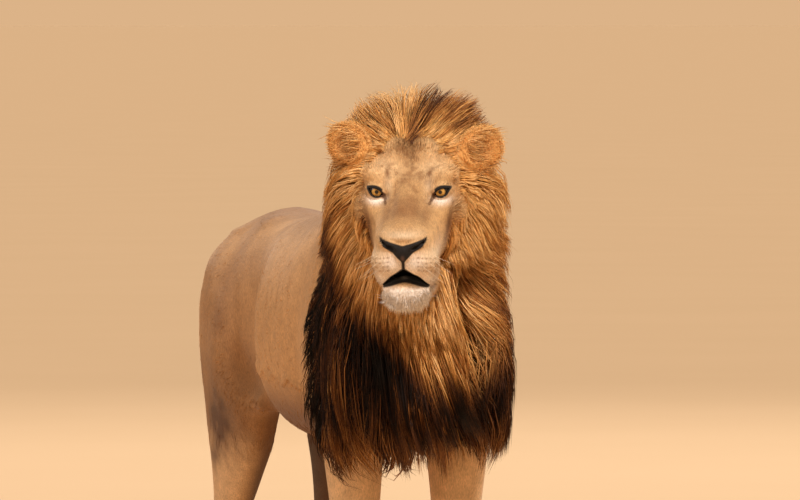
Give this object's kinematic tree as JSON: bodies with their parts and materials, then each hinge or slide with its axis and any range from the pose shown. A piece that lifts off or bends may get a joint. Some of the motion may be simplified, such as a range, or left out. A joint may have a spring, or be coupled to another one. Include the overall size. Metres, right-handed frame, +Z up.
{
  "type": "lion",
  "caption": "Life-size still model of a standing adult male lion with a full mane, head turned slightly to its right.",
  "frame": {"origin": "centre of the bounding box on the floor the four paws stand on", "axes": "+Z up, the lion faces -Y, +X is its own left side"},
  "size_m": [0.472, 1.9658, 1.3484],
  "materials": {
    "coat_tawny": "short matt fur",
    "coat_pale": "short pale fur",
    "mane_gold": "long golden hair",
    "mane_brown": "long brown hair",
    "mane_dark": "long dark hair",
    "eye": "wet, glossy",
    "nose": "moist grained skin"
  },
  "bodies": {
    "root": {"trunk_barrel": "coat_tawny", "trunk_croup": "coat_tawny", "foreleg_left_upper": "coat_tawny", "foreleg_left_lower": "coat_tawny", "foreleg_left_paw": "coat_tawny", "hindleg_left_upper": "coat_tawny", "hindleg_left_lower": "coat_tawny", "hindleg_left_hock": "coat_tawny", "hindleg_left_paw": "coat_tawny", "foreleg_right_upper": "coat_tawny", "foreleg_right_lower": "coat_tawny", "foreleg_right_paw": "coat_tawny", "hindleg_right_upper": "coat_tawny", "hindleg_right_lower": "coat_tawny", "hindleg_right_hock": "coat_tawny", "hindleg_right_paw": "coat_tawny", "tail_root": "coat_tawny", "tail_middle": "coat_tawny", "tail_tuft": "mane_dark", "eye_right": "eye", "eye_left": "eye", "head": "coat_tawny", "muzzle": "coat_tawny", "lower_jaw": "coat_pale", "nose_leather": "nose", "ear_right": "mane_gold", "ear_left": "mane_gold", "mane_crown": "mane_gold", "mane_nape": "mane_brown", "mane_cheek_left": "mane_gold", "mane_cheek_right": "mane_gold", "mane_breast": "mane_dark", "mane_shoulders": "mane_dark"}
  },
  "joints": []
}
